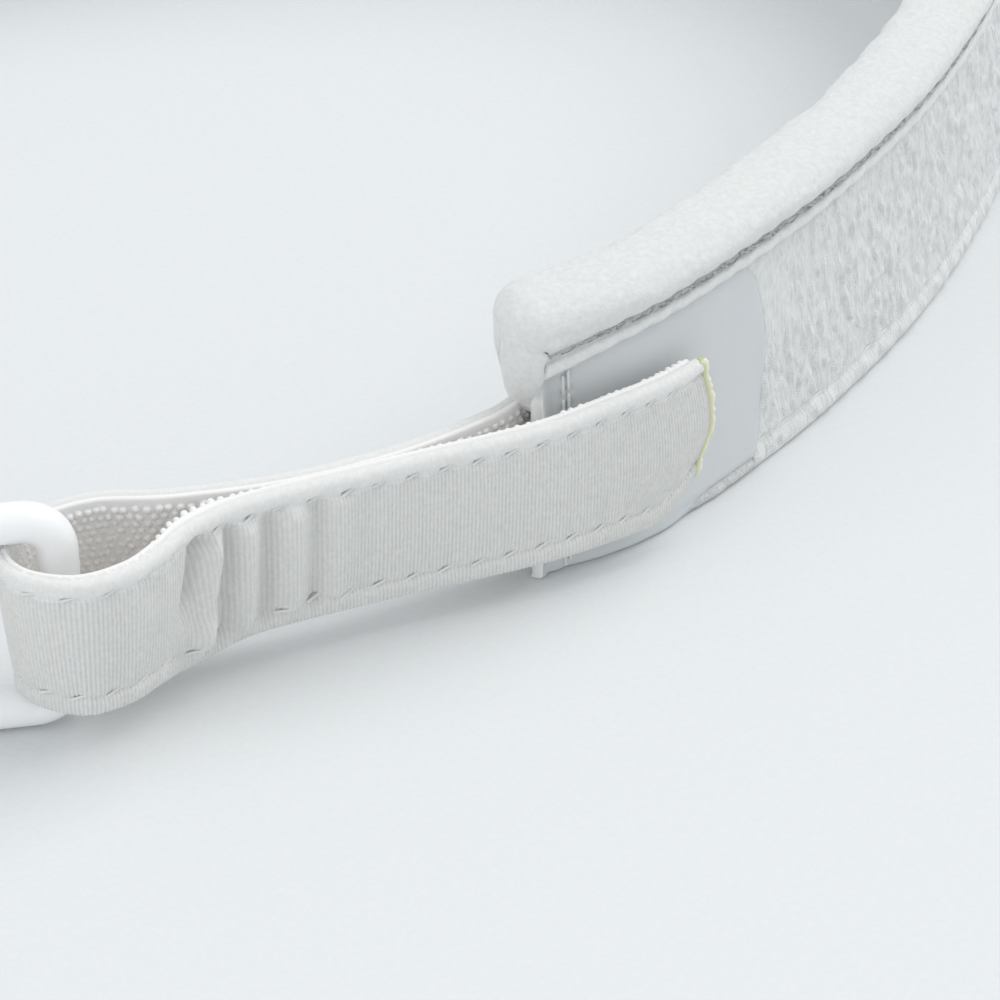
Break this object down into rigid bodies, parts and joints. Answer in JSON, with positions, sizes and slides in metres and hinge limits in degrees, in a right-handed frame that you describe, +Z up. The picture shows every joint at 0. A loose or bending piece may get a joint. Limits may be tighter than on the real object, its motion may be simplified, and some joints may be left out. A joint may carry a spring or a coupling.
{
  "type": "sports headband",
  "caption": "Padded sports headband with a rolled towelling sweatband and a rear strap that passes through a ring and folds back to fasten.",
  "frame": {"origin": "centre of the bounding box, on the plane of the band's lower edge", "axes": "+Z up from the lower edge to the padded rim, +Y towards the closure at the back of the head, +X from the strap end towards the ring end"},
  "size_m": [0.2554, 0.1488, 0.0294],
  "materials": {
    "crepe_shell": "matt crepe weave with fine puckers",
    "smooth_patch": "smooth matt brushed knit",
    "interlining": "non-woven stiffener",
    "foam": null,
    "terry_sweatband": "brushed short-pile terry",
    "thread": "polyester sewing thread",
    "ribbed_webbing": "ribbed elastic webbing with turned edges",
    "fastener_tape": "hook-and-loop fastener tape",
    "moulded_ring": "glossy white moulded plastic"
  },
  "bodies": {
    "root": {"outer_panel": "crepe_shell", "stiffener": "interlining", "foam_core": "foam", "sweatband": "terry_sweatband", "end_patch_strap_side": "smooth_patch", "end_patch_ring_side": "smooth_patch", "rim_seam_thread": "thread", "hem_thread": "thread", "end_thread_strap_side": "thread", "end_thread_ring_side": "thread", "strap_base_webbing": "ribbed_webbing", "strap_base_loop_tape": "fastener_tape", "strap_base_thread_lower": "thread", "strap_base_thread_upper": "thread", "ring_tab": "ribbed_webbing"},
    "ring": {"ring": "moulded_ring"},
    "strap_free": {"strap_free_webbing": "ribbed_webbing", "strap_free_hook_tape": "fastener_tape", "strap_free_thread_lower": "thread", "strap_free_thread_upper": "thread"}
  },
  "joints": [
    {"name": "ring_swivel", "type": "hinge", "parent": "root", "child": "ring", "pos_m": [0.0305, 0.06198, 0.0122], "axis": [0, 0, 1], "range_deg": [-3.5, 3.5]},
    {"name": "strap_peel", "type": "hinge", "parent": "root", "child": "strap_free", "pos_m": [0.0043, 0.07243, 0.0118], "axis": [0, 0, -1], "range_deg": [0, 110]}
  ]
}
